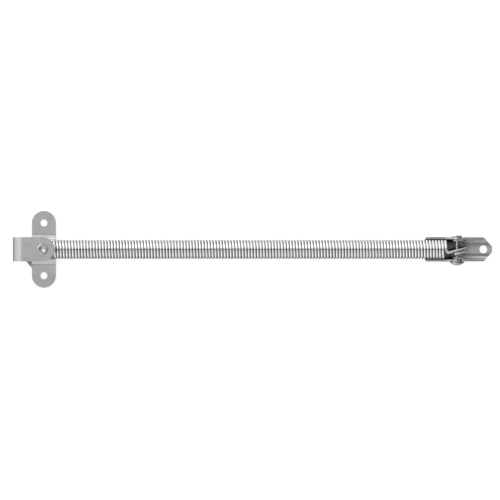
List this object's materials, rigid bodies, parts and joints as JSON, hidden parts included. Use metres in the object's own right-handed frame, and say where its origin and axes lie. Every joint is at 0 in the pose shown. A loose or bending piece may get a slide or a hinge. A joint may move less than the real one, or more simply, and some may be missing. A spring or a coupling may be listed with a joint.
{
  "type": "hatch spring",
  "caption": "Close-wound spring prop for a hatch or lid: swivelling screw-on base plate with a folded strap at one end, riveted socket and folding lid bracket at the other.",
  "frame": {"origin": "midway between the base plate's two screw holes, on the face that is screwed down", "axes": "+X along the spring towards the lid bracket, +Y across it along the line of the base screws, +Z away from the mounting face"},
  "size_m": [0.2388, 0.0384, 0.015],
  "materials": {
    "zinc_plate": "zinc-plated pressed steel, satin",
    "zinc_strap": "zinc-plated steel strip, satin",
    "spring_wire": "plated spring wire, bright satin",
    "rivet": "plated steel, smooth"
  },
  "bodies": {
    "base": {"base_plate": "zinc_plate", "base_strap": "zinc_strap", "base_rivet": "rivet"},
    "near_spring": {"hatch_spring": "spring_wire", "eye_bush": "rivet"},
    "far_spring": {"spring_socket": "zinc_strap", "cross_rivet": "rivet"},
    "bracket": {"lid_bracket": "zinc_plate"}
  },
  "joints": [
    {"name": "base_swivel", "type": "hinge", "parent": "base", "child": "near_spring", "pos_m": [0, 0, 0.008], "axis": [0, 0, 1], "range_deg": [-90, 90]},
    {"name": "spring_bend", "type": "hinge", "parent": "near_spring", "child": "far_spring", "pos_m": [0.10305, 0, 0.008], "axis": [0, 0, 1], "range_deg": [-90, 90], "stiffness_Nm_per_rad": 0.065, "deforming": ["hatch_spring"]},
    {"name": "bracket_pivot", "type": "hinge", "parent": "far_spring", "child": "bracket", "pos_m": [0.2061, 0, 0.008], "axis": [0, -1, 0], "range_deg": [0, 90]}
  ]
}
